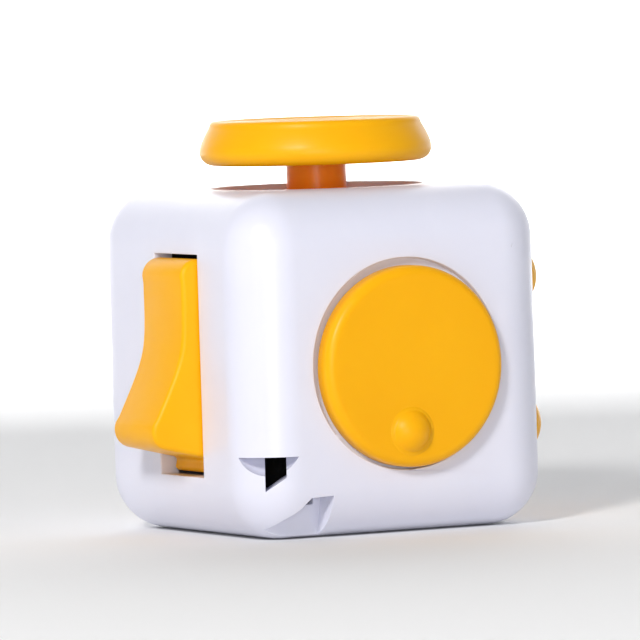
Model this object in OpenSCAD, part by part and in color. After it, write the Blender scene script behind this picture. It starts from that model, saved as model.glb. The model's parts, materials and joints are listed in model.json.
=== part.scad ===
/* [Body] */
// Side of the cube, over its flat faces
cube_side = 33; // [33:0.1:33.4]
// Radius of the rounded edges and corners
edge_round = 5.25; // [5:0.05:5.4]
// Thickness of the shell's walls
wall = 2; // [1.9:0.05:2.1]

/* [Joystick, top face] */
// Round opening in the top face
glide_opening_d = 20.5; // [20:0.1:20.7]
// Widest diameter of the joystick cap
cap_d = 22.6; // [20:0.1:24]
// Height of the cap's rim above the table
cap_top = 39.5; // [38.8:0.1:40]
// Height of the cap's flat underside
cap_bottom = 35.2; // [34.8:0.1:35.4]
// How far the joystick glides each way, along X and along Y
glide_travel = 1; // [0.6:0.1:1]

/* [Spinning dial, front face] */
// Diameter of the dial
dial_d = 19.2; // [18:0.1:19.4]
// How far the dial stands out from the face
dial_height = 1.6; // [1.2:0.05:1.8]
// Diameter of the thumb bump on the dial
bump_d = 4.2; // [3.5:0.1:4.6]

/* [Flip rocker, left face] */
// Width of the rocker's slot
slot_w = 8.95; // [8.9:0.05:9.2]
// Height of the rocker's slot
slot_h = 21.3; // [21.3:0.1:21.6]
// Half of the rocker's swing, in degrees
flip_half = 13.5; // [12:0.5:13.5]

/* [Buttons, right face] */
// Diameter of each domed button
button_d = 7.2; // [6.8:0.1:7.3]
// Button rows above and below the middle
button_row = 7.15; // [7:0.05:7.2]
// Button columns each side of the middle
button_column = 7.2; // [7:0.05:7.25]

/* [Gears and ball, rear face] */
// Outer diameter of each gear wheel
gear_d = 9.6; // [9.2:0.1:9.6]
// Teeth on each gear wheel
gear_teeth = 18; // [14:1:20]
// Diameter of the steel roller ball
ball_d = 6.4; // [6.2:0.1:6.5]

/* [Base cover] */
// Width of the thumb dish in the base
dish_d = 20; // [16:0.5:21]
// Depth of the thumb dish
dish_depth = 2; // [1:0.1:2.2]

/* [Hidden] */
$fn = 96;
body_white = "#ecedf0";
accent_yellow = "#fdb81c";
frame_black = "#17181a";
steel = "#b9bcc0";
eps = 0.01;

half = cube_side / 2;
mid_z = half;
inner_half = half - wall;
// Radius that trims the cavity's edges, so that the wall keeps its thickness there
cavity_trim = (half - edge_round) * sqrt(2) + edge_round - wall;

// Base opening and cover
cover_half = 12.8;
cover_corner = 3;
ledge_half = 12;
ledge_corner = 2.2;
ledge_z = 1.2;
cover_gap = 0.1;
dish_boss_top = 3.2;
dish_sphere_r = (dish_d * dish_d / 4 + dish_depth * dish_depth) / (2 * dish_depth);
hook_w = 5;
hook_t = 1;
hook_top = 3.9;
hook_barb = 0.6;

// Core frame, and the four screws that hold it and the glide housing
core_x = 8.6;
core_front = -9;
core_rear = 7.6;
core_bottom = 4.4;
core_wall = 1.6;
spring_seat_rear = 9.4;
screw_at = 10.4;
arm_bottom = 24.8;
arm_inner = 6;
arm_half_w = 1.1;
arm_end = screw_at + arm_half_w;
housing_bottom = 25.8;
boss_bottom = 27;
boss_r = 1.4;
lug_r = 1.6;
screw_r = 0.75;
screw_head_r = 1.3;
screw_tip = 30.2;

// Joystick: skirt under the top wall, slider block, carriage and housing
top_inner = cube_side - wall;
skirt_r = glide_opening_d / 2 + glide_travel * sqrt(2) + 0.05;
skirt_bottom = 29.7;
skirt_top = 30.6;
stem_r = 2.9;
peg_r = 1.5;
peg_top = 36.9;
cap_edge = 1.2;
cap_dish = 1.1;
cap_dish_r = 38;
slider = 7;
slide_gap = 0.15;
end_gap = glide_travel + 0.3;
glide_floor = 26.7;
glide_top = 29.2;
housing_top = 29.4;
housing_r = 11;
housing_half_x = 8.9;
carriage_half_x = 6.25;
carriage_half_y = 6.3;
glide_mid = (glide_floor + glide_top) / 2;
glide_spring_r = 0.85;
glide_wire_r = 0.12;
glide_bore_r = 1.1;
glide_bore = 2.2;

// Dial
dial_r = dial_d / 2;
dial_x = 0.5;
dial_z = mid_z - 0.5;
dial_recess_r = 10.1;
// The recess sits a little up and to the left of the dial's axis
recess_shift = [-0.15, 0.25];
dial_recess = 0.8;
dial_gap = 0.2;
dial_edge = 0.8;
dial_post_r = 2.55;
dial_bore_r = 2.6;
dial_boss_r = 4.2;
dial_boss_end = -12.4;
dial_post_end = -12.3;
dial_washer_r = 3.6;
dial_washer_t = 0.5;
dial_screw_r = 0.8;
dial_screw_len = 3;
bump_at = [-0.7, -6.15];
bump_height = 1.2;

// Rocker. Its outline lies in the plane of depth and height, with the pivot at the origin
slot_y = -1.72;
rocker_w = slot_w - 0.4;
pivot_depth = 3.4;
pivot_x = -half + pivot_depth;
rocker_dip = 5.45;
rocker_slope = 0.27;
rocker_bend = 2.4;
rocker_tip_r = 1.8;
rocker_tip_z = 7.45;
rocker_steps = 8;
rocker_back = 1.3;
rocker_foot_half = 10.55;
rocker_foot_t = 1;
pin_r = 1;
pin_half = 6.3;
ear_t = 1.8;
ear_gap = 0.12;
ear_r = 2.2;
ear_half = 1.9;
plunger_r = 1.15;
plunger_tip = 1.75;
plunger_back = -7;
plunger_bore_r = 1.22;
detent_seat = -4.6;

// Buttons
button_r = button_d / 2;
button_hole_r = button_r + 0.15;
button_sphere_x = half - 0.55;
button_flange_r = 4.2;
button_flange_front = inner_half - 0.15;
button_flange_t = 1;
button_stem_r = 1.2;
button_stem_end = 10.25;
button_spring_r = 1.6;
button_wire_r = 0.2;
dome_r = 1.3;
dome_h = 0.5;
BUTTONS = [[-button_column, mid_z + button_row], [button_column, mid_z + button_row], [0, mid_z],
    [-button_column, mid_z - button_row], [button_column, mid_z - button_row]];
CLICKING = [0, 2, 4];

// Gears and ball
gear_y = 13.5;
gear_z = 20.6;
gear_r = gear_d / 2;
gear_root_r = gear_r - 0.75;
gear_w = 3.4;
gear_pitch = 3.75;
gear_bore_r = 1.05;
axle_r = 1;
axle_half = 7.5;
gear_window_half = [5.95, 5];
gear_ear_t = 1.5;
ball_y = 14.9;
ball_z = 9.2;
ball_r = ball_d / 2;
ball_clear = 0.08;
cup_r = 4;
cup_front = 13;
cup_back = 10.3;
tube_inner_r = 4.08;
tube_outer_r = 4.9;
tube_back = 11;
ball_travel = 0.5;
tube_stop = cup_front + ball_travel + 0.1;
ball_spring_r = 2.4;
ball_wire_r = 0.25;

// Lanyard corner: a scoop and slot above the bar, a pocket below it
scoop_ceiling = 8.05;
scoop_r = 3.4;
scoop_centre = [-14.3, -15.2, 9.7];
slit_half = 1.02;
slit_turn = -28;
slit_centre = [-13.75, -15.75];
slit_depth = 7;

// A closed helical wire along +Z, swept with a six-sided section
module spring(length, radius, wire, turns = 4, per_turn = 12, sides = 6) {
    steps = turns * per_turn;
    rings = [for (i = [0:steps]) let (a = 360 * i / per_turn, z = wire + (length - 2 * wire) * i / steps)
        [for (k = [0:sides - 1]) let (s = 360 * k / sides)
            [(radius + wire * cos(s)) * cos(a), (radius + wire * cos(s)) * sin(a), z + wire * sin(s)]]];
    points = [for (ring = rings) for (p = ring) p];
    sides_faces = [for (i = [0:steps - 1]) for (k = [0:sides - 1]) let (n = (k + 1) % sides)
        [i * sides + k, (i + 1) * sides + k, (i + 1) * sides + n, i * sides + n]];
    first_end = [for (k = [0:sides - 1]) k];
    last_end = [for (k = [sides - 1:-1:0]) steps * sides + k];
    polyhedron(points, concat([first_end, last_end], sides_faces), convexity = 8);
}

module quarter_round(length, radius) {
    linear_extrude(length, center = true) intersection() {
        circle(r = radius);
        square(radius);
    }
}

module ball_corner(radius) {
    rotate_extrude(angle = 90) intersection() {
        circle(r = radius);
        square(radius);
    }
}

// A cube with rounded edges and corners, in cells that meet face to face
module rounded_cube(size, radius) {
    inner = size - 2 * radius;
    h = inner / 2;
    cube(inner, center = true);
    for (turn = [[0, 0, 0], [0, 90, 0], [90, 0, 0]]) {
        for (side = [0, 180])
            rotate(turn) rotate([side, 0, 0]) translate([0, 0, h + radius / 2])
                cube([inner, inner, radius], center = true);
        for (quarter = [0:90:270])
            rotate(turn) rotate([0, 0, quarter]) translate([h, h, 0]) quarter_round(inner, radius);
    }
    for (quarter = [0:90:270], flip = [0, 1])
        rotate([0, 0, quarter]) mirror([0, 0, flip]) translate([h, h, h]) ball_corner(radius);
}

module body_form() {
    translate([0, 0, mid_z]) rounded_cube(cube_side, edge_round);
}

// The hollow inside the shell: a box whose edges are trimmed by three round bars
module cavity() {
    translate([0, 0, mid_z]) intersection() {
        cube(2 * inner_half, center = true);
        cylinder(r = cavity_trim, h = 2 * cube_side, center = true);
        rotate([90, 0, 0]) cylinder(r = cavity_trim, h = 2 * cube_side, center = true);
        rotate([0, 90, 0]) cylinder(r = cavity_trim, h = 2 * cube_side, center = true);
    }
}

// A plate with round corners, from one height to another
module rounded_plate(half_side, corner, from_z, to_z) {
    translate([0, 0, from_z]) linear_extrude(to_z - from_z) {
        square([2 * half_side, 2 * (half_side - corner)], center = true);
        square([2 * (half_side - corner), 2 * half_side], center = true);
        for (sx = [-1, 1], sy = [-1, 1])
            translate([sx * (half_side - corner), sy * (half_side - corner)]) circle(r = corner);
    }
}

// Cylinders along X and Y, between two places on that axis
module bar_x(radius, from_x, to_x) {
    translate([from_x, 0, 0]) rotate([0, 90, 0]) cylinder(r = radius, h = to_x - from_x);
}

module bar_y(radius, from_y, to_y) {
    translate([0, from_y, 0]) rotate([-90, 0, 0]) cylinder(r = radius, h = to_y - from_y);
}

module bar_z(radius, from_z, to_z) {
    translate([0, 0, from_z]) cylinder(r = radius, h = to_z - from_z);
}

// A box between two corners
module block(from, to) {
    translate(from) cube(to - from);
}

module at_screws() {
    for (sx = [-1, 1], sy = [-1, 1]) translate([sx * screw_at, sy * screw_at, 0]) children();
}

module at_dial() {
    translate([dial_x, 0, dial_z]) children();
}

// Extra material inside the corner, behind the scoop and the pocket
module lanyard_backing() {
    block([-13.2, -14.3, 1.5], [-7.2, -12.05, 3.4]);
    block([-10, -14.3, 1.5], [-7.2, -12.05, 5.6]);
    block([-14.6, -14.6, 4.2], [-10.6, -11.2, 9.6]);
}

// What the lanyard corner cuts away: a scoop and a slit above the bar, a pocket below it, and the
// passage behind the bar that joins them
module lanyard_cut() {
    intersection() {
        union() {
            translate(scoop_centre) sphere(r = scoop_r);
            translate([slit_centre.x, slit_centre.y, 0]) rotate([0, 0, slit_turn])
                translate([0, slit_depth, 0]) rotate([90, 0, 0]) linear_extrude(slit_depth + 3)
                    polygon([[-slit_half, 4.8], [slit_half, 6.1], [slit_half, 9], [-slit_half, 9]]);
        }
        block([-20, -20, 4], [-9, -9, scoop_ceiling]);
    }
    translate([0, -13, 0]) rotate([8, 0, 0]) rotate([90, 0, 0]) linear_extrude(6)
        polygon([[-14, -1], [-13.9, 1.05], [-12.8, 2.25], [-11.4, 3.3], [-10.3, 4.45], [-7.9, 4.55],
            [-8.1, -1]]);
    block([-12.2, -14, 3.2], [-8.7, -11, 4.15]);
}

module main_shell() {
    color(body_white) difference() {
        union() {
            difference() {
                body_form();
                cavity();
            }
            at_screws() bar_z(boss_r, boss_bottom, top_inner + eps);
            at_dial() bar_y(dial_boss_r, -half + 1.5, dial_boss_end);
            rocker_ears();
            gear_ears();
            translate([0, 0, ball_z]) bar_y(tube_outer_r, tube_back, half - 1.5);
            lanyard_backing();
        }
        rounded_plate(cover_half, cover_corner, -1, ledge_z);
        rounded_plate(ledge_half, ledge_corner, 0, wall + eps);
        bar_z(glide_opening_d / 2, top_inner - 1, cube_side + 1);
        at_screws() bar_z(screw_r, boss_bottom - 1, screw_tip);
        translate([dial_x + recess_shift.x, 0, dial_z + recess_shift.y])
            bar_y(dial_recess_r, -half - 1, -half + dial_recess);
        at_dial() bar_y(dial_bore_r, -half - 1, dial_boss_end + 1);
        block([-half - 1, slot_y - slot_w / 2, mid_z - slot_h / 2],
            [-inner_half + 1, slot_y + slot_w / 2, mid_z + slot_h / 2]);
        translate([pivot_x, slot_y, mid_z]) bar_y(pin_r, -pin_half, pin_half);
        for (b = BUTTONS) translate([0, b.x, b.y]) bar_x(button_hole_r, inner_half - 1, half + 1);
        block([-gear_window_half.x, inner_half - 4, gear_z - gear_window_half.y],
            [gear_window_half.x, half + 1, gear_z + gear_window_half.y]);
        translate([0, gear_y, gear_z]) bar_x(axle_r, -axle_half, axle_half);
        ball_socket();
        translate([0, 0, ball_z]) bar_y(tube_inner_r, tube_back - 1, tube_stop);
        lanyard_cut();
    }
}

// The ball's seat in the wall: straight from inside, then closing in over the ball
module ball_socket() {
    seat_r = ball_r + ball_clear;
    translate([0, ball_y, ball_z]) rotate([-90, 0, 0]) rotate_extrude() {
        translate([0, -2]) square([seat_r, 2]);
        intersection() {
            circle(r = seat_r);
            square(seat_r);
        }
    }
}

// Ears that carry the rocker's pin, each side of its slot
module rocker_ears() {
    for (side = [-1, 1]) {
        inner_y = slot_y + side * (slot_w / 2 + ear_gap);
        outer_y = inner_y + side * ear_t;
        near = min(inner_y, outer_y);
        block([-half + 1.5, near, mid_z - ear_half], [pivot_x, near + ear_t, mid_z + ear_half]);
        translate([pivot_x, 0, mid_z]) bar_y(ear_r, near, near + ear_t);
    }
}

// Ears that carry the gears' axle, each side of their window
module gear_ears() {
    for (side = [-1, 1]) {
        inner_x = side * gear_window_half.x;
        outer_x = inner_x + side * gear_ear_t;
        near = min(inner_x, outer_x);
        block([near, gear_y, gear_z - ear_half], [near + gear_ear_t, half - 1.5, gear_z + ear_half]);
        translate([0, gear_y, gear_z]) bar_x(ear_r, near, near + gear_ear_t);
    }
}

module base_cover() {
    color(body_white) difference() {
        union() {
            intersection() {
                body_form();
                rounded_plate(cover_half - cover_gap, cover_corner - cover_gap, 0, ledge_z - cover_gap);
            }
            rounded_plate(ledge_half - cover_gap, ledge_corner - cover_gap, 0.8, wall);
            bar_z(dish_d / 2 + 1, 1, dish_boss_top);
            for (turn = [0:90:270]) rotate([0, 0, turn]) cover_hook();
        }
        translate([0, 0, dish_depth - dish_sphere_r]) sphere(r = dish_sphere_r, $fn = 192);
        lanyard_cut();
    }
}

// One snap hook: a leg inside the opening, with a barb over the shell's ledge
module cover_hook() {
    leg_out = ledge_half - cover_gap;
    block([leg_out - hook_t, -hook_w / 2, 1.5], [leg_out, hook_w / 2, hook_top]);
    block([leg_out - hook_t, -hook_w / 2, wall + 0.1], [leg_out + hook_barb, hook_w / 2, hook_top - 0.7]);
}

module core_frame() {
    color(frame_black) difference() {
        union() {
            block([-core_x, core_front, core_bottom], [core_x, core_rear, housing_bottom]);
            block([core_x - core_wall, 0, core_bottom], [core_x, spring_seat_rear, housing_bottom]);
            for (flip = [0, 1]) mirror([flip, 0, 0]) core_arms();
            at_screws() bar_z(lug_r, arm_bottom, housing_bottom);
        }
        difference() {
            block([-core_x + core_wall, core_front + core_wall, core_bottom - 1],
                [core_x - core_wall, core_rear - core_wall, arm_bottom - 0.6]);
            translate([0, slot_y, mid_z]) bar_x(2.2, -core_x, detent_seat + 1.2);
        }
        block([-core_x + 3.2, core_front - 1, 7.5], [core_x - 3.2, core_front + core_wall + 1, 12]);
        block([-core_x + 3.2, core_front - 1, 20], [core_x - 3.2, core_front + core_wall + 1, 23]);
        translate([0, slot_y, mid_z]) bar_x(plunger_bore_r, -core_x - 1, detent_seat);
        at_screws() bar_z(screw_r + 0.1, arm_bottom - 1, housing_bottom + 1);
    }
}

// The arms on one side: a rail along Y, and a branch out to each screw
module core_arms() {
    block([arm_inner, -arm_end, arm_bottom], [core_x, arm_end, housing_bottom]);
    for (side = [-1, 1]) translate([0, side * screw_at, 0])
        block([arm_inner, -arm_half_w, arm_bottom], [screw_at, arm_half_w, housing_bottom]);
}

module core_screws() {
    color(steel) at_screws() difference() {
        union() {
            bar_z(screw_r, arm_bottom, screw_tip);
            bar_z(screw_head_r, arm_bottom - 0.9, arm_bottom);
        }
        for (turn = [0, 90]) rotate([0, 0, turn])
            block([-0.8, -0.15, arm_bottom - 1.9], [0.8, 0.15, arm_bottom - 0.5]);
    }
}

module glide_housing() {
    lug_bar = screw_at * sqrt(2);
    color(frame_black) difference() {
        union() {
            intersection() {
                bar_z(housing_r, housing_bottom, housing_top);
                block([-housing_half_x, -housing_r, housing_bottom],
                    [housing_half_x, housing_r, housing_top]);
            }
            for (turn = [45:90:315]) rotate([0, 0, turn])
                block([6, -lug_r, housing_bottom], [lug_bar, lug_r, boss_bottom]);
            at_screws() bar_z(lug_r, housing_bottom, boss_bottom);
        }
        block([-carriage_half_x - end_gap, -carriage_half_y - slide_gap, glide_floor - 0.1],
            [carriage_half_x + end_gap, carriage_half_y + slide_gap, housing_top + 1]);
        bar_z(2, housing_bottom - 1, housing_top);
        at_screws() bar_z(screw_r + 0.1, housing_bottom - 1, boss_bottom + 1);
    }
}

module glide_carriage() {
    color(frame_black) difference() {
        block([-carriage_half_x, -carriage_half_y, glide_floor],
            [carriage_half_x, carriage_half_y, glide_top]);
        block([-slider / 2 - slide_gap, -slider / 2 - end_gap, glide_floor - 1],
            [slider / 2 + slide_gap, slider / 2 + end_gap, glide_top + 1]);
        for (side = [-1, 1]) translate([side * carriage_half_x, 0, glide_mid])
            bar_x(glide_bore_r, -glide_bore, glide_bore);
    }
}

module glide_springs_x() {
    color(steel) for (side = [-1, 1]) translate([side * (carriage_half_x - glide_bore), 0, glide_mid])
        rotate([0, side * 90, 0]) spring(glide_bore + end_gap, glide_spring_r, glide_wire_r, 5);
}

module glide_springs_y() {
    color(steel) for (side = [-1, 1]) translate([0, side * (slider / 2 - glide_bore), glide_mid])
        rotate([-side * 90, 0, 0]) spring(glide_bore + end_gap, glide_spring_r, glide_wire_r, 5);
}

module joystick_stem() {
    color(accent_yellow) difference() {
        union() {
            block([-slider / 2, -slider / 2, glide_floor], [slider / 2, slider / 2, glide_top]);
            bar_z(stem_r, glide_top - 1, cap_bottom);
            bar_z(peg_r, cap_bottom - 1, peg_top);
            bar_z(skirt_r, skirt_bottom, skirt_top);
        }
        for (side = [-1, 1]) translate([0, side * slider / 2, glide_mid])
            bar_y(glide_bore_r, -glide_bore, glide_bore);
    }
}

// The cap is turned: a rounded lower edge, a tapered side and a shallow dish
module joystick_cap() {
    rim = cap_d / 2;
    color(accent_yellow) rotate_extrude() difference() {
        union() {
            polygon([[0, cap_bottom], [rim - cap_edge, cap_bottom], [rim, cap_bottom + cap_edge],
                [rim - 0.85, cap_top - 0.6], [rim - 1.45, cap_top], [0, cap_top]]);
            intersection() {
                translate([rim - cap_edge, cap_bottom + cap_edge]) circle(r = cap_edge);
                translate([rim - cap_edge, cap_bottom]) square(cap_edge);
            }
        }
        translate([0, cap_top - cap_dish + cap_dish_r]) circle(r = cap_dish_r, $fn = 192);
        translate([0, cap_bottom - 1]) square([peg_r, peg_top - cap_bottom + 1]);
    }
}

module spin_dial() {
    face = -half - dial_height;
    color(accent_yellow) at_dial() difference() {
        union() {
            rotate([90, 0, 0]) rotate_extrude() union() {
                back = half - dial_recess + dial_gap;
                front = half + dial_height;
                translate([0, back]) square([dial_r, front - dial_edge - back]);
                translate([0, back]) square([dial_r - dial_edge, front - back]);
                intersection() {
                    translate([dial_r - dial_edge, front - dial_edge]) circle(r = dial_edge);
                    translate([dial_r - dial_edge, front - dial_edge]) square(dial_edge);
                }
            }
            bar_y(dial_post_r, -half, dial_post_end);
            intersection() {
                translate([bump_at.x, face + dial_bump_depth(), bump_at.y]) sphere(r = dial_bump_r());
                block([-5, face - 3, -dial_r], [5, face + 0.5, 0]);
            }
        }
        bar_y(dial_screw_r, dial_post_end - dial_screw_len, dial_post_end + 1);
    }
}

function dial_bump_r() = (bump_d * bump_d / 4 + bump_height * bump_height) / (2 * bump_height);
function dial_bump_depth() = dial_bump_r() - bump_height;

module dial_washer() {
    color(steel) at_dial() difference() {
        bar_y(dial_washer_r, dial_post_end, dial_post_end + dial_washer_t);
        bar_y(dial_screw_r + 0.15, dial_post_end - 1, dial_post_end + 2);
    }
}

module dial_screw() {
    head = dial_post_end + dial_washer_t;
    color(steel) at_dial() difference() {
        union() {
            bar_y(dial_screw_r, dial_post_end - dial_screw_len, head);
            bar_y(1.9, head, head + 1.1);
        }
        for (turn = [0, 90]) rotate([0, turn, 0])
            block([-1.2, head + 0.5, -0.2], [1.2, head + 2, 0.2]);
    }
}

// Distance of the rocker's outer face from the pivot, at a height along the rocker
function rocker_face(z) = rocker_dip + rocker_slope * (norm([z, rocker_bend]) - rocker_bend);

// The rocker's outline with the pivot at the origin: a shallow hollow outside, a foot inside
module rocker_outline() {
    lift = rocker_face(rocker_tip_z);
    tip_x = lift - rocker_tip_r;
    end = rocker_tip_z + rocker_tip_r;
    foot = -rocker_back + rocker_foot_t;
    face = [for (i = [-rocker_steps:rocker_steps]) let (z = rocker_tip_z * i / rocker_steps)
        [rocker_face(z), z]];
    polygon(concat(face, [[tip_x, end], [foot, end], [-rocker_back, 3], [-rocker_back, -3], [foot, -end],
        [tip_x, -end]]));
    for (side = [-1, 1]) intersection() {
        translate([tip_x, side * rocker_tip_z]) circle(r = rocker_tip_r);
        translate([tip_x, side > 0 ? rocker_tip_z : -end]) square(rocker_tip_r);
    }
    intersection() {
        translate([-rocker_back, -rocker_foot_half]) square([rocker_foot_t, 2 * rocker_foot_half]);
        circle(r = rocker_foot_half);
    }
}

module flip_rocker() {
    color(accent_yellow) translate([pivot_x, slot_y, mid_z]) rotate([0, flip_half, 0]) difference() {
        mirror([1, 0, 0]) rotate([90, 0, 0]) translate([0, 0, -rocker_w / 2])
            linear_extrude(rocker_w) rocker_outline();
        bar_y(pin_r + 0.05, -rocker_w, rocker_w);
    }
}

module rocker_pin() {
    color(steel) translate([pivot_x, slot_y, mid_z]) bar_y(pin_r, -pin_half, pin_half);
}

module detent_plunger() {
    tip_x = pivot_x + plunger_tip;
    color(steel) translate([0, slot_y, mid_z]) rotate([0, 90, 0]) rotate_extrude() {
        translate([0, tip_x + plunger_r]) square([plunger_r, plunger_back - tip_x - plunger_r]);
        intersection() {
            translate([0, tip_x + plunger_r]) circle(r = plunger_r);
            translate([0, tip_x]) square(plunger_r);
        }
    }
}

module detent_spring() {
    color(steel) translate([plunger_back, slot_y, mid_z]) rotate([0, 90, 0])
        spring(detent_seat - plunger_back, 0.8, 0.15, 4);
}

module button(index) {
    at = BUTTONS[index];
    flange_back = button_flange_front - button_flange_t;
    color(accent_yellow) translate([0, at.x, at.y]) rotate([0, 90, 0]) rotate_extrude() union() {
        translate([0, button_stem_end]) square([button_stem_r, flange_back - button_stem_end + 0.5]);
        translate([0, flange_back]) square([button_flange_r, button_flange_t]);
        translate([0, flange_back]) square([button_r, button_sphere_x - flange_back]);
        intersection() {
            translate([0, button_sphere_x]) circle(r = button_r);
            translate([0, button_sphere_x]) square(button_r);
        }
    }
}

module button_spring(index) {
    at = BUTTONS[index];
    color(steel) translate([core_x, at.x, at.y]) rotate([0, 90, 0])
        spring(button_flange_front - button_flange_t - core_x, button_spring_r, button_wire_r, 4);
}

// Snap domes on the core, under the buttons that click
module click_domes() {
    color(steel) for (i = CLICKING) translate([core_x, BUTTONS[i].x, BUTTONS[i].y]) rotate([0, 90, 0])
        rotate_extrude() intersection() {
            translate([0, dome_h - 2]) circle(r = 2);
            square([dome_r, dome_h]);
        }
}

// A gear wheel with straight-sided teeth, on the axle along X
module gear(position) {
    step = 360 / gear_teeth;
    outline = [for (i = [0:gear_teeth - 1]) for (c = [[-0.36, gear_root_r], [-0.2, gear_r], [0.2, gear_r],
        [0.36, gear_root_r]]) let (a = (i + c.x) * step) [c.y * cos(a), c.y * sin(a)]];
    color(accent_yellow) translate([position * gear_pitch, gear_y, gear_z]) rotate([0, 90, 0]) difference() {
        linear_extrude(gear_w, center = true) polygon(outline);
        cylinder(r = gear_bore_r, h = 2 * gear_w, center = true);
    }
}

module gear_axle() {
    color(steel) translate([0, gear_y, gear_z]) bar_x(axle_r, -axle_half, axle_half);
}

module roll_ball() {
    color(steel) translate([0, ball_y, ball_z]) sphere(r = ball_r);
}

module ball_cup() {
    color(frame_black) difference() {
        translate([0, 0, ball_z]) bar_y(cup_r, cup_back, cup_front);
        translate([0, ball_y, ball_z]) sphere(r = ball_r + ball_clear);
        translate([0, 0, ball_z]) bar_y(1, cup_back - 1, cup_front);
    }
}

module ball_spring() {
    color(steel) translate([0, core_rear, ball_z]) rotate([-90, 0, 0])
        spring(cup_back - core_rear, ball_spring_r, ball_wire_r, 4);
}

main_shell();
base_cover();
core_frame();
core_screws();
glide_housing();
glide_carriage();
glide_springs_x();
glide_springs_y();
joystick_stem();
joystick_cap();
spin_dial();
dial_washer();
dial_screw();
flip_rocker();
rocker_pin();
detent_plunger();
detent_spring();
button(0);  // click_button_1
button(1);  // click_button_2
button(2);  // click_button_3
button(3);  // click_button_4
button(4);  // click_button_5
button_spring(0);  // button_spring_1
button_spring(1);  // button_spring_2
button_spring(2);  // button_spring_3
button_spring(3);  // button_spring_4
button_spring(4);  // button_spring_5
click_domes();
gear(-1);  // roll_gear_1
gear(0);  // roll_gear_2
gear(1);  // roll_gear_3
gear_axle();
roll_ball();
ball_cup();
ball_spring();
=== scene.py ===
import json
import math

import bmesh
import bpy
from mathutils import Matrix, Vector


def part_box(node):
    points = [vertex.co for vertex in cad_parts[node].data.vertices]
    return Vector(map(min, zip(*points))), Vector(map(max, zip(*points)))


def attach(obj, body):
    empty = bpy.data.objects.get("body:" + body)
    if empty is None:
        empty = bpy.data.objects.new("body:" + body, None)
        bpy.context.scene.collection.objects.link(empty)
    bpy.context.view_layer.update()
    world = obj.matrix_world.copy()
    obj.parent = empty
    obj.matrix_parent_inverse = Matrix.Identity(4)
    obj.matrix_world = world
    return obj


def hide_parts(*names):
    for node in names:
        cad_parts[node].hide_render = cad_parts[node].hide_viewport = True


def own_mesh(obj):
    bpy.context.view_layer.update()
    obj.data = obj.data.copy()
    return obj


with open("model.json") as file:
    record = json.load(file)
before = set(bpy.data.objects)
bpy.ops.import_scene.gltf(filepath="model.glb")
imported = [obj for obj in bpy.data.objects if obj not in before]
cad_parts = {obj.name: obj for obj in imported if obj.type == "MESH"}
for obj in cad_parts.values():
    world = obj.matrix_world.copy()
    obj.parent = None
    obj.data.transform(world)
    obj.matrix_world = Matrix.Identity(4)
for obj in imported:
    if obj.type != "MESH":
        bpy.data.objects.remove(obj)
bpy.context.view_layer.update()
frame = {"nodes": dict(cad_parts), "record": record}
NODES = frame["nodes"]
MM = 0.001

# Sizes of the finer shapes, in millimetres and degrees; the rest comes from the frame
CUBE_MID = 16.5
SHELL_EDGE = 0.12

CAP_LIFT = 0.02
# Half-axes of the cap's rounded lower edge, across and up
CAP_EDGE = (1.4, 1.28)
CAP_SWELL = 0.05
CAP_DRAW_IN = (0.62, 0.42)
CAP_LIP_R = 0.56
CAP_DISH_DEPTH = 1.16
CAP_DISH_INSET = 2.1

DIAL_HEIGHT = 1.6
DIAL_SUNK = 0.62
DIAL_EDGE_R = 0.9
DIAL_POST_R = 2.55
DIAL_SCREW_R = 0.9
BUMP_AT = (-0.7, -6.15)
BUMP_R = 2.05
BUMP_HEIGHT = 1.18

BUTTON_R = 3.6
BUTTON_STEM_R = 1.2
BUTTON_FLANGE_R = 4.2
BUTTON_FLANGE_X = 13.35
BUTTON_FLANGE_THICK = 1.0
BUTTON_BREAK = 0.15

# The rocker is drawn upright about its pivot, then turned to its rest angle
ROCKER_REST = 13.5
ROCKER_TIP_Z = 7.45
ROCKER_TIP_R = 1.8
ROCKER_DEPTH = 5.41
ROCKER_SLOPE = 0.27
ROCKER_HOLLOW = 2.4
ROCKER_EDGE_R = 0.8


def corner(node, which):
    """A CAD node's lowest (0) or highest (1) corner, in millimetres."""
    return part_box(node)[which] / MM


# ---------------------------------------------------------------- camera
CAMERA_AZIMUTH = -28.11
CAMERA_ELEVATION = 2.7
CAMERA_ROLL = -1.8
CAMERA_DISTANCE = 0.7699
CAMERA_LENS = 446.9
CAMERA_SLIDE = (-0.00019, 0.00344)


def make_camera():
    """A long lens at the photograph's angle, a little rolled, aimed at the middle of the cube."""
    az, el, roll = (math.radians(v) for v in (CAMERA_AZIMUTH, CAMERA_ELEVATION, CAMERA_ROLL))
    back = Vector((math.sin(az) * math.cos(el), -math.cos(az) * math.cos(el), math.sin(el)))
    level = Vector((math.cos(az), math.sin(az), 0))
    rise = back.cross(level)
    right = math.cos(roll) * level + math.sin(roll) * rise
    up = math.cos(roll) * rise - math.sin(roll) * level
    place = Vector((0, 0, CUBE_MID * MM)) + CAMERA_DISTANCE * back
    place += CAMERA_SLIDE[0] * right + CAMERA_SLIDE[1] * up
    data = bpy.data.cameras.new("camera")
    data.lens = CAMERA_LENS
    data.sensor_width = 36
    data.clip_start = 0.01
    data.clip_end = 20
    camera = bpy.data.objects.new("camera", data)
    bpy.context.scene.collection.objects.link(camera)
    camera.matrix_world = Matrix([*zip(right, up, back, place), (0, 0, 0, 1)])
    bpy.context.scene.camera = camera


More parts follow.
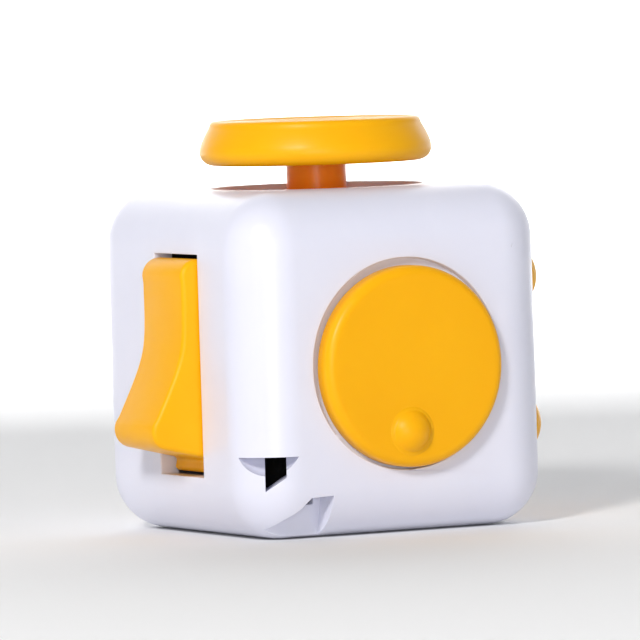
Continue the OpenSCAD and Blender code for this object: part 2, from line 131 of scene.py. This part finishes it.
# ---------------------------------------------------------------- materials
class Nodes:
    """A short way to add and join a material's nodes."""

    def __init__(self, name):
        self.material = bpy.data.materials.new(name)
        self.material.use_nodes = True
        self.tree = self.material.node_tree
        self.shader = self.tree.nodes["Principled BSDF"]
        coords = self.tree.nodes.new("ShaderNodeTexCoord")
        self.place = coords.outputs["Object"]

    def add(self, kind, **values):
        """A node of a kind, with its properties or inputs set by name."""
        node = self.tree.nodes.new(kind)
        for key, value in values.items():
            if hasattr(node, key):
                setattr(node, key, value)
            else:
                node.inputs[key.replace("_", " ")].default_value = value
        return node

    def join(self, output, target):
        self.tree.links.new(output, target)

    def noise(self, scale, detail=3, roughness=0.55):
        """Noise with about scale features in a metre."""
        node = self.add("ShaderNodeTexNoise", Scale=scale, Detail=detail, Roughness=roughness)
        self.join(self.place, node.inputs["Vector"])
        return node.outputs["Fac"]

    def spread(self, value, low, high, from_low=0.0, from_high=1.0):
        """value remapped to run from low to high."""
        node = self.add("ShaderNodeMapRange")
        self.join(value, node.inputs["Value"])
        limits = {"From Min": from_low, "From Max": from_high, "To Min": low, "To Max": high}
        for key, number in limits.items():
            node.inputs[key].default_value = number
        return node.outputs["Result"]

    def mix(self, factor, first, second):
        """A colour between first and second; each is a colour or an output."""
        node = self.add("ShaderNodeMix", data_type="RGBA")
        for value, target in ((factor, node.inputs[0]), (first, node.inputs[6]), (second, node.inputs[7])):
            if hasattr(value, "links"):
                self.join(value, target)
            else:
                target.default_value = value
        return node.outputs[2]

    def bump(self, height, distance, strength, under=None):
        """A normal shaped by height, laid over another normal where one is given."""
        node = self.add("ShaderNodeBump", Strength=strength, Distance=distance)
        self.join(height, node.inputs["Height"])
        if under is not None:
            self.join(under, node.inputs["Normal"])
        return node.outputs["Normal"]


def rgba(colour):
    return (*colour, 1.0)


def scratches(n, scale, turn):
    """Fine short lines: noise stretched along one direction, kept only at its peaks."""
    stretch = n.add("ShaderNodeMapping")
    stretch.inputs["Scale"].default_value = (scale, scale * 0.04, scale)
    stretch.inputs["Rotation"].default_value = (turn, turn * 0.6, turn * 1.7)
    n.join(n.place, stretch.inputs["Vector"])
    noise = n.add("ShaderNodeTexNoise", Scale=1.0, Detail=2, Roughness=0.5)
    n.join(stretch.outputs["Vector"], noise.inputs["Vector"])
    return n.spread(noise.outputs["Fac"], 0, 1, 0.66, 0.74)


def moulded_plastic(name, colour, shade, roughness, gloss=0.5, scatter=0.0, scatter_colour=None, scuff=None):
    """Injection-moulded plastic: faint flow marks in the colour, satin mottling, hairlines and scuffs."""
    n = Nodes(name)
    flow = n.noise(90, 4)
    grain = n.noise(5200, 2)
    cloud = n.noise(420, 3)
    tint = n.mix(n.spread(flow, 0, 1, 0.3, 0.7), rgba(shade), rgba(colour))
    if scuff is not None:
        marks = n.spread(n.noise(620, 5, 0.7), 0, 0.75, 0.735, 0.79)
        tint = n.mix(marks, tint, rgba(scuff))
    n.join(tint, n.shader.inputs["Base Color"])
    lines = scratches(n, 9000, 0.6)
    satin = n.add("ShaderNodeMath", operation="MULTIPLY_ADD")
    n.join(lines, satin.inputs[0])
    satin.inputs[1].default_value = 0.10
    n.join(n.spread(cloud, roughness - 0.05, roughness + 0.06, 0.3, 0.7), satin.inputs[2])
    n.join(satin.outputs["Value"], n.shader.inputs["Roughness"])
    fine = n.bump(grain, 0.000006, 0.25)
    n.join(n.bump(lines, 0.000004, 0.3, fine), n.shader.inputs["Normal"])
    n.shader.inputs["Specular IOR Level"].default_value = gloss
    if scatter:
        n.shader.inputs["Subsurface Weight"].default_value = scatter
        n.shader.inputs["Subsurface Radius"].default_value = scatter_colour
        n.shader.inputs["Subsurface Scale"].default_value = 0.0012
    return n.material


def textured_plastic(name, colour, shade, roughness):
    """Spark-textured dark plastic."""
    n = Nodes(name)
    n.join(n.mix(n.noise(800), rgba(shade), rgba(colour)), n.shader.inputs["Base Color"])
    uneven = n.spread(n.noise(1500), roughness - 0.08, roughness + 0.08, 0.3, 0.7)
    n.join(uneven, n.shader.inputs["Roughness"])
    n.join(n.bump(n.noise(4200, 4), 0.00002, 0.5), n.shader.inputs["Normal"])
    return n.material


def metal(name, colour, shade, roughness, brushed):
    """Steel with drawing lines or a polish, and cloudy wear."""
    n = Nodes(name)
    n.shader.inputs["Metallic"].default_value = 1.0
    cloud = n.noise(700, 4)
    n.join(n.mix(cloud, rgba(shade), rgba(colour)), n.shader.inputs["Base Color"])
    lines = scratches(n, 12000, 0.2)
    wear = n.add("ShaderNodeMath", operation="MULTIPLY_ADD")
    n.join(lines, wear.inputs[0])
    wear.inputs[1].default_value = 0.18 if brushed else 0.05
    n.join(n.spread(cloud, roughness * 0.8, roughness * 1.2, 0.3, 0.7), wear.inputs[2])
    n.join(wear.outputs["Value"], n.shader.inputs["Roughness"])
    n.join(n.bump(lines, 0.000004, 0.4 if brushed else 0.1), n.shader.inputs["Normal"])
    return n.material


def make_materials():
    """All materials by their slot names, and a deeper orange copy of the yellow plastic for the stem, which
    is painted shade for its place under the cap.
    """
    return {
        "white_plastic": moulded_plastic(
            "white_plastic", (0.81, 0.815, 0.93), (0.78, 0.785, 0.905), 0.33,
            scatter=0.12, scatter_colour=(1.0, 0.9, 0.8), scuff=(0.42, 0.42, 0.44)),
        "yellow_plastic": moulded_plastic(
            "yellow_plastic", (0.98, 0.47, 0.003), (0.95, 0.44, 0.002), 0.36, gloss=0.2,
            scatter=0.1, scatter_colour=(1.0, 0.45, 0.02)),
        # Painted shade: the same yellow plastic made deeper orange, standing in for the shade the stem sits
        # in under the cap
        "yellow_plastic_painted_shade": moulded_plastic(
            "yellow_plastic_painted_shade", (1.0, 0.33, 0.0), (0.98, 0.3, 0.0), 0.34, gloss=0.3,
            scatter=0.3, scatter_colour=(1.0, 0.35, 0.02)),
        "black_plastic": textured_plastic("black_plastic", (0.012, 0.012, 0.014), (0.02, 0.02, 0.022), 0.5),
        "steel": metal("steel", (0.58, 0.585, 0.6), (0.48, 0.485, 0.5), 0.3, True),
        "polished_steel": metal("polished_steel", (0.78, 0.785, 0.8), (0.72, 0.725, 0.74), 0.1, False),
    }


# ---------------------------------------------------------------- pieces
def object_from(bm, name, material, body, replaced):
    """A finished bmesh, in millimetres, becomes a piece that rides on a body and stands for a CAD node."""
    bmesh.ops.recalc_face_normals(bm, faces=bm.faces)
    bmesh.ops.scale(bm, vec=(MM, MM, MM), verts=bm.verts)
    mesh = bpy.data.meshes.new(name)
    bm.to_mesh(mesh)
    bm.free()
    mesh.materials.append(material)
    piece = bpy.data.objects.new(name, mesh)
    bpy.context.scene.collection.objects.link(piece)
    for polygon in mesh.polygons:
        polygon.use_smooth = True
    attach(piece, body)
    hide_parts(replaced)
    return piece


def arc(centre, radius, start, end, steps):
    """Points of an arc in a profile, from one angle to another in degrees."""
    angles = [math.radians(start + (end - start) * i / steps) for i in range(steps + 1)]
    return [(centre[0] + radius * math.cos(a), centre[1] + radius * math.sin(a)) for a in angles]


def circle(centre, radius, side, across, steps):
    """Points round a centre, in the plane of the unit vectors side and across."""
    angles = [2 * math.pi * i / steps for i in range(steps)]
    return [centre + radius * (math.cos(a) * side + math.sin(a) * across) for a in angles]


def join_rings(bm, near, far):
    """Faces between two rings of vertices. A ring of one vertex closes the shape to a point."""
    steps = max(len(near), len(far))
    for i in range(steps):
        j = (i + 1) % steps
        quad = [near[i % len(near)], near[j % len(near)], far[j % len(far)], far[i % len(far)]]
        loop = [v for k, v in enumerate(quad) if v not in quad[:k]]
        bm.faces.new(loop)


def turned(profile, place, axis, steps):
    """A bmesh turned from a profile of (radius, height) points, along X, Y or Z from place.

    The profile starts and ends on the axis.
    """
    bm = bmesh.new()
    axis = Vector(axis)
    side = axis.yzx
    across = axis.cross(side)
    rings = []
    for radius, height in profile:
        base = Vector(place) + axis * height
        points = circle(base, radius, side, across, steps) if radius else [base]
        rings.append([bm.verts.new(point) for point in points])
    for near, far in zip(rings, rings[1:]):
        join_rings(bm, near, far)
    return bm


def paint_nodes():
    """Each CAD node takes the material that its record names, but the stem takes a deeper orange copy of the
    yellow plastic, painted shade for its place under the cap.
    """
    for entry in frame["record"]["subparts"]:
        mesh = NODES[entry["node"]].data
        mesh.materials.clear()
        mesh.materials.append(MATERIALS[entry["material_slot"]])
    # The stem's deeper orange is painted shade from the cap above it
    NODES["joystick_stem"].data.materials[0] = MATERIALS["yellow_plastic_painted_shade"]


def make_cap():
    """The joystick cap: a soft lower edge, a side that draws in as it rises, a thin lip and a hollow top."""
    low, high = corner("joystick_cap", 0), corner("joystick_cap", 1)
    rim = (high.x - low.x) / 2
    under, top = low.z + CAP_LIFT, high.z
    edge_across, edge_up = CAP_EDGE
    profile = [(0, under), (rim - 2.4, under)]
    profile += [(rim - CAP_SWELL + edge_across * (x - 1), under + edge_up * (z + 1))
                for x, z in arc((0, 0), 1, -90, 0, 9)]
    side_start = low.z + 1.5
    side_height = top - low.z - 2.05
    slant, curve = CAP_DRAW_IN
    profile += [(rim - 0.04 - slant * t - curve * t * t, side_start + side_height * t)
                for t in [0.12 * i for i in range(1, 8)] + [0.94]]
    profile += arc((rim - 1.62, top - CAP_LIP_R), CAP_LIP_R, 8, 132, 9)
    dish_r = rim - CAP_DISH_INSET
    profile += [(dish_r * t, top - 0.06 - (CAP_DISH_DEPTH - 0.06) * (1 - t * t) ** 0.8)
                for t in [0.97, 0.93, 0.88] + [0.1 * i for i in range(8, 0, -1)]]
    profile += [(0, top - CAP_DISH_DEPTH)]
    cap = turned(profile, (0, 0, 0), (0, 0, 1), 192)
    object_from(cap, "joystick_cap_look", YELLOW, "joystick", "joystick_cap")


def make_dial():
    """The dial: a flat face with a rounded edge and the stepped post behind it."""
    low, high = corner("spin_dial", 0), corner("spin_dial", 1)
    centre = (low + high) / 2
    radius = (high.x - low.x) / 2
    cube_front = corner("main_shell", 0).y
    front, back = cube_front - DIAL_HEIGHT, cube_front + DIAL_SUNK
    post_end = corner("dial_washer", 0).y
    flat = radius - DIAL_EDGE_R
    # Many rings across the flat face keep its shading flat up to the edge
    rings = 60
    profile = [(flat * i / rings, front) for i in range(rings + 1)]
    profile += arc((flat, front + DIAL_EDGE_R), DIAL_EDGE_R, -80, 0, 8)
    profile += [(radius, back - 0.25), (radius - 0.07, back - 0.07), (radius - 0.25, back)]
    profile += [(DIAL_POST_R + 0.45, back), (DIAL_POST_R + 0.05, back + 0.1), (DIAL_POST_R, back + 0.4)]
    profile += [(DIAL_POST_R, post_end - 0.2), (DIAL_POST_R - 0.2, post_end)]
    profile += [(DIAL_SCREW_R, post_end), (DIAL_SCREW_R, post_end - 3), (0, post_end - 3)]
    dial = turned(profile, (centre.x, 0, centre.z), (0, 1, 0), 180)
    object_from(dial, "spin_dial_look", YELLOW, "dial", "spin_dial")
    make_bump((centre.x + BUMP_AT[0], front, centre.z + BUMP_AT[1]))


def make_bump(place):
    """The dial's thumb bump: part of a sphere, with a skirt that blends into the face."""
    sphere_r = (BUMP_R ** 2 + BUMP_HEIGHT ** 2) / (2 * BUMP_HEIGHT)
    widest = math.degrees(math.asin(BUMP_R / sphere_r))
    steps = 18
    profile = [(0, 0.5), (BUMP_R + 0.45, 0.5)]
    profile += [(BUMP_R + 0.45, 0.03), (BUMP_R + 0.22, -0.01), (BUMP_R + 0.06, -0.1)]
    profile += arc((0, sphere_r - BUMP_HEIGHT), sphere_r,
                   widest * (steps - 1) / steps - 90, widest / steps - 90, steps - 2)
    profile += [(0, -BUMP_HEIGHT)]
    bump = turned(profile, place, (0, 1, 0), 96)
    object_from(bump, "spin_dial_bump_look", YELLOW, "dial", "spin_dial")


def make_button(number):
    """A domed button, with a soft shoulder where the dome meets its guide, a flange and a stem."""
    node = f"click_button_{number}"
    low, high = corner(node, 0), corner(node, 1)
    flange_back, flange_front = BUTTON_FLANGE_X, BUTTON_FLANGE_X + BUTTON_FLANGE_THICK
    profile = [(0, low.x), (BUTTON_STEM_R - 0.2, low.x), (BUTTON_STEM_R, low.x + 0.2)]
    profile += [(BUTTON_STEM_R, flange_back - 0.3), (BUTTON_STEM_R + 0.3, flange_back)]
    flange_flat = BUTTON_FLANGE_R - BUTTON_BREAK
    profile += [(flange_flat, flange_back), (BUTTON_FLANGE_R, flange_back + BUTTON_BREAK)]
    profile += [(BUTTON_FLANGE_R, flange_front - BUTTON_BREAK), (flange_flat, flange_front)]
    profile += [(BUTTON_R + BUTTON_BREAK, flange_front), (BUTTON_R, flange_front + BUTTON_BREAK)]
    profile += arc((0, high.x - BUTTON_R), BUTTON_R, 0, 85, 17)
    profile += [(0, high.x)]
    button = turned(profile, (0, (low.y + high.y) / 2, (low.z + high.z) / 2), (1, 0, 0), 96)
    object_from(button, f"{node}_look", YELLOW, f"button_{number}", node)


def rocker_outline():
    """The rocker's side view, as (depth, height) points about its pivot. Its lower half mirrors the upper."""
    def hollow(z):
        return ROCKER_SLOPE * (math.hypot(z, ROCKER_HOLLOW) - ROCKER_HOLLOW)

    tip_x = ROCKER_DEPTH + 0.04 + hollow(ROCKER_TIP_Z) - ROCKER_TIP_R
    tip_top = ROCKER_TIP_Z + ROCKER_TIP_R
    half = [(ROCKER_DEPTH + hollow(z), z) for z in [6.5 * i / 12 for i in range(13)]]
    half += arc((tip_x, ROCKER_TIP_Z), ROCKER_TIP_R, -10, 90, 10)
    half += [(tip_x - 1.2, tip_top), (0.6, tip_top), (-0.3, tip_top)]
    half += [(-0.32, 10.48), (-1.25, 10.42), (-1.28, 3.5)]
    return half + [(depth, -z) for depth, z in reversed(half[1:])]


def make_rocker():
    """The rocker: a hollowed outer face with soft corners between it and its flat sides."""
    low, high = corner("flip_rocker", 0), corner("flip_rocker", 1)
    pivot = (corner("rocker_pin", 0) + corner("rocker_pin", 1)) / 2
    half_w = (high.y - low.y) / 2
    lean = Matrix.Rotation(math.radians(ROCKER_REST), 3, "Y")
    bm = bmesh.new()
    sides = [[bm.verts.new(pivot + lean @ Vector((-depth, y, z))) for depth, z in rocker_outline()]
             for y in (-half_w, half_w)]
    join_rings(bm, *sides)
    for side in sides:
        bm.faces.new(side)
    rocker = object_from(bm, "flip_rocker_look", YELLOW, "rocker", "flip_rocker")
    bevel = rocker.modifiers.new("soft_edges", "BEVEL")
    bevel.width = ROCKER_EDGE_R * MM
    bevel.segments = 5
    bevel.limit_method = "ANGLE"
    bevel.angle_limit = math.radians(50)


def at_lanyard(place):
    """Whether a place is at the lanyard corner, whose edges are too fine to round."""
    return place.x < -7 and place.y < -10.5 and place.z < 9.8


def mark_sharp_edges(mesh, angle):
    """Gives each sharp edge a bevel weight, or keeps it sharp if it is at the lanyard corner."""
    # Seams split the mesh, so an edge is known by where its ends are, to the nearest 2 micrometres
    spots = [tuple(round(c * 500000) for c in vertex.co) for vertex in mesh.vertices]
    normals = {}
    for polygon in mesh.polygons:
        loop = list(polygon.vertices)
        for a, b in zip(loop, loop[1:] + loop[:1]):
            normals.setdefault(frozenset((spots[a], spots[b])), []).append(polygon.normal.copy())
    weights, kept = [], []
    for edge in mesh.edges:
        a, b = edge.vertices
        met = normals.get(frozenset((spots[a], spots[b])), [])
        sharp = len(met) == 2 and all(n.length > 0 for n in met) and met[0].angle(met[1]) > angle
        fine = at_lanyard((mesh.vertices[a].co + mesh.vertices[b].co) / 2 / MM)
        weights.append(1.0 if sharp and not fine else 0.0)
        kept.append(sharp and fine)
    for name, kind, values in (("bevel_weight_edge", "FLOAT", weights), ("sharp_edge", "BOOLEAN", kept)):
        layer = mesh.attributes.get(name) or mesh.attributes.new(name, kind, "EDGE")
        layer.data.foreach_set("value", values)


def soften_shell():
    """The shell's moulded edges are rounded by modifiers; its own mesh stays as it is."""
    shell = NODES["main_shell"]
    mark_sharp_edges(shell.data, math.radians(38))
    weld = shell.modifiers.new("join_seams", "WELD")
    weld.merge_threshold = 0.000002
    bevel = shell.modifiers.new("moulded_edges", "BEVEL")
    bevel.width = SHELL_EDGE * MM
    bevel.segments = 3
    bevel.limit_method = "WEIGHT"
    bevel.use_clamp_overlap = False
    normals = shell.modifiers.new("even_shading", "WEIGHTED_NORMAL")
    normals.keep_sharp = True


def make_spring(node, axis, radius, wire):
    """A coil of round wire in place of a CAD spring.

    It lies along axis. radius is the coil's, to the middle of its wire. wire is the wire's own radius.
    """
    low, high = corner(node, 0), corner(node, 1)
    axis = Vector(axis)
    length = (high - low).dot(axis)
    start = (low + high) / 2 - axis * length / 2
    side = axis.orthogonal().normalized()
    across = axis.cross(side)
    turns, steps_per_turn = 4, 28
    steps = turns * steps_per_turn
    bm = bmesh.new()
    rings = []
    for i in range(steps + 1):
        a = 2 * math.pi * i / steps_per_turn
        out = math.cos(a) * side + math.sin(a) * across
        centre = start + out * radius + axis * (wire + (length - 2 * wire) * i / steps)
        rings.append([bm.verts.new(point) for point in circle(centre, wire, out, axis, 10)])
    for near, far in zip(rings, rings[1:]):
        join_rings(bm, near, far)
    bm.faces.new(rings[0])
    bm.faces.new(rings[-1])
    piece = object_from(bm, f"{node}_look", MATERIALS["steel"], "body", node)
    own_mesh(piece)


def make_springs():
    """The springs that a single control presses: five buttons, the ball and the rocker's plunger."""
    for number in range(1, 6):
        make_spring(f"button_spring_{number}", (1, 0, 0),
                    radius=1.6, wire=0.19)
    make_spring("ball_spring", (0, 1, 0), radius=2.4, wire=0.24)
    make_spring("detent_spring", (1, 0, 0), radius=0.8, wire=0.14)


# ---------------------------------------------------------------- stage
def make_floor():
    """A pale floor that curves up into a backdrop, square to the camera and just clear of the cube's base."""
    level, flat_end, bend, half_w = -0.00003, 1.1, 0.7, 3.5
    line = [(-3.0, level), (flat_end, level)]
    line += arc((flat_end, level + bend), bend, -85, 0, 17)
    line += [(flat_end + bend, 3.0)]
    bm = bmesh.new()
    rows = [[bm.verts.new((x, y, z)) for x in (-half_w, half_w)] for y, z in line]
    for near, far in zip(rows, rows[1:]):
        bm.faces.new((near[0], near[1], far[1], far[0]))
    bmesh.ops.rotate(bm, verts=bm.verts, matrix=Matrix.Rotation(math.radians(CAMERA_AZIMUTH), 3, "Z"))
    mesh = bpy.data.meshes.new("floor")
    bm.to_mesh(mesh)
    bm.free()
    for polygon in mesh.polygons:
        polygon.use_smooth = True
    floor = bpy.data.objects.new("floor", mesh)
    bpy.context.scene.collection.objects.link(floor)
    n = Nodes("floor")
    n.shader.inputs["Base Color"].default_value = (0.9, 0.9, 0.9, 1)
    n.shader.inputs["Roughness"].default_value = 0.9
    n.shader.inputs["Specular IOR Level"].default_value = 0.1
    mesh.materials.append(n.material)


def add_light(name, place, aim, size, power, colour=(1, 1, 1)):
    """A soft square lamp."""
    data = bpy.data.lights.new(name, "AREA")
    data.energy = power
    data.size = size
    data.color = colour
    lamp = bpy.data.objects.new(name, data)
    lamp.location = Vector(place)
    lamp.rotation_euler = (Vector(aim) - lamp.location).to_track_quat("-Z", "Y").to_euler()
    bpy.context.scene.collection.objects.link(lamp)


def make_lights():
    """A high key at the front left, a low fill, even light all round and a lamp for the backdrop."""
    bpy.context.scene.view_settings.view_transform = "Standard"
    world = bpy.data.worlds.new("studio")
    world.use_nodes = True
    background = world.node_tree.nodes["Background"]
    background.inputs["Color"].default_value = (0.94, 0.96, 1.0, 1)
    background.inputs["Strength"].default_value = 0.31
    bpy.context.scene.world = world
    middle = (0, 0, CUBE_MID * MM)
    add_light("key", (-0.49, -0.43, 0.39), middle, size=0.12, power=3.2, colour=(1, 0.985, 0.965))
    add_light("fill", (-0.37, -0.7, 0.05), middle, size=0.2, power=1.5)
    add_light("backdrop_lamp", (0.25, 0.5, 1.0), (0.85, 1.6, 0.5), size=1.2, power=60)


make_camera()
MATERIALS = make_materials()
YELLOW = MATERIALS["yellow_plastic"]
paint_nodes()
make_cap()
make_dial()
for button_number in range(1, 6):
    make_button(button_number)
make_rocker()
make_springs()
soften_shell()
make_floor()
make_lights()
